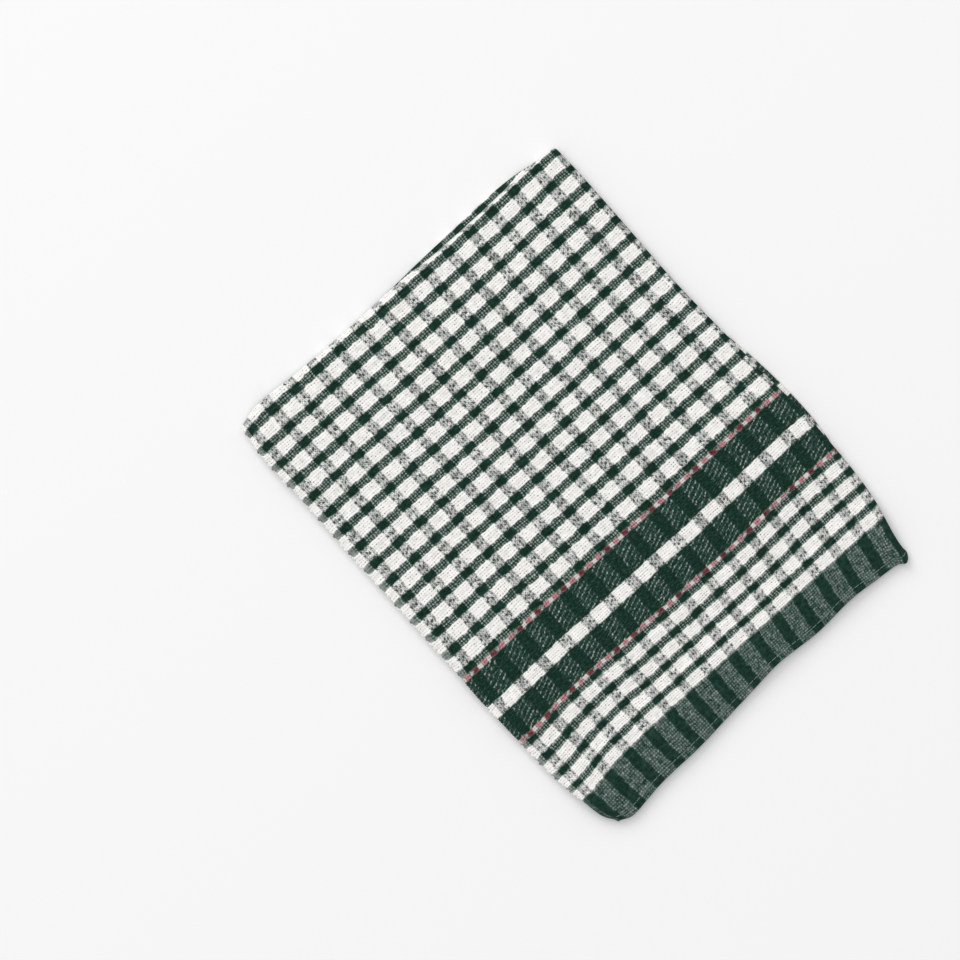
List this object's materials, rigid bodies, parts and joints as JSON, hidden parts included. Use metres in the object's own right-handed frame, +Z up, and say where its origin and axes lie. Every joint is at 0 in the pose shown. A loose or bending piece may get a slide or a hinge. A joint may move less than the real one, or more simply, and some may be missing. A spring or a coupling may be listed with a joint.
{
  "type": "dishcloth",
  "caption": "Woven cotton dishcloth in a green and white check with banded ends and turned hems, folded in four and lying flat.",
  "frame": {"origin": "middle of the folded cloth's outline, on the surface it lies on", "axes": "+X across the cloth, from its selvedges to its side fold; +Y from its open hems to its cross fold; +Z up"},
  "size_m": [0.2016, 0.257, 0.0074],
  "materials": {
    "cotton_check": "matt woven cotton, dark green and off-white check with red lines"
  },
  "bodies": {
    "root": {"dishcloth": "cotton_check"}
  },
  "joints": []
}
